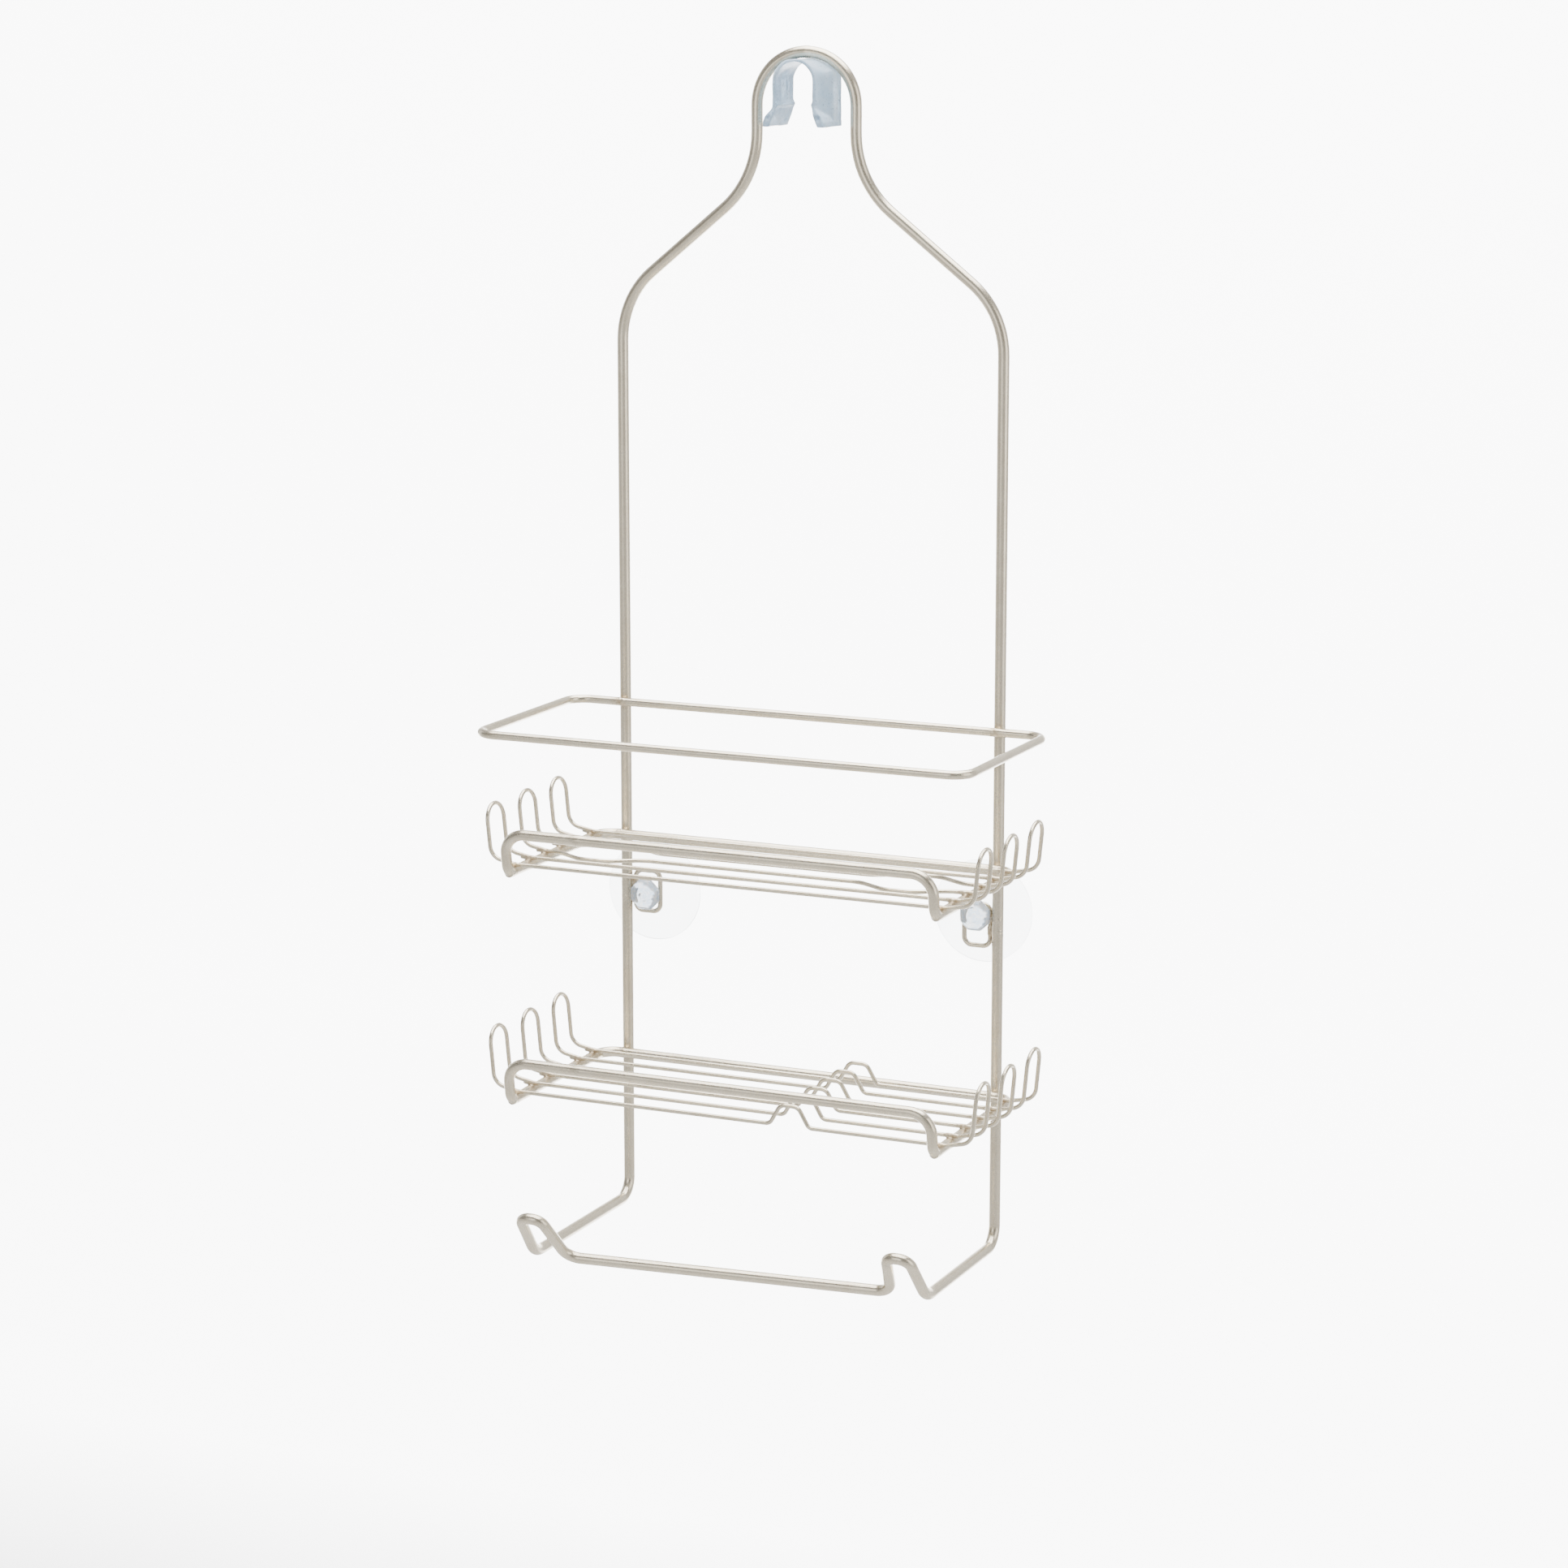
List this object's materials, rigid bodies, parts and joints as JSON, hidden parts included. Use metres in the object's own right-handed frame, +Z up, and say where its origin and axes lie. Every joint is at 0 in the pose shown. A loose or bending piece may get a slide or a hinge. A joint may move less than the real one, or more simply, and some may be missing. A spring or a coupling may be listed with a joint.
{
  "type": "shower caddy",
  "caption": "Wire caddy hung over a shower arm, with a bottle shelf under a guard ring, a soap shelf, side hooks, a front rail and suction cups that grip the wall.",
  "frame": {"origin": "top of the shower arm that the caddy hangs on, in the plane of its two uprights, midway between them", "axes": "+X to the user's right, +Y towards the wall, +Z up"},
  "size_m": [0.2958, 0.1537, 0.6637],
  "materials": {
    "satin_steel": "satin nickel coating over steel wire",
    "clear_vinyl": "clear glossy flexible vinyl",
    "frosted_vinyl": "frosted translucent flexible vinyl"
  },
  "bodies": {
    "caddy": {"frame_wire_left": "satin_steel", "frame_wire_right": "satin_steel", "guard_ring": "satin_steel", "upper_shelf_frame": "satin_steel", "lower_shelf_frame": "satin_steel", "upper_floor_loop_front": "satin_steel", "upper_floor_loop_middle": "satin_steel", "upper_floor_loop_rear": "satin_steel", "lower_floor_loop_front": "satin_steel", "lower_floor_loop_middle": "satin_steel", "lower_floor_loop_rear": "satin_steel", "left_cup_bracket": "satin_steel", "right_cup_bracket": "satin_steel", "arm_saddle": "frosted_vinyl"},
    "left_cup": {"left_suction_cup": "clear_vinyl"},
    "right_cup": {"right_suction_cup": "clear_vinyl"}
  },
  "joints": [
    {"name": "left_cup_slide", "type": "slide", "parent": "caddy", "child": "left_cup", "axis": [0, 0, 1], "range_m": [-0.0048, 0.0078]},
    {"name": "right_cup_slide", "type": "slide", "parent": "caddy", "child": "right_cup", "axis": [0, 0, 1], "range_m": [-0.012, 0]}
  ]
}
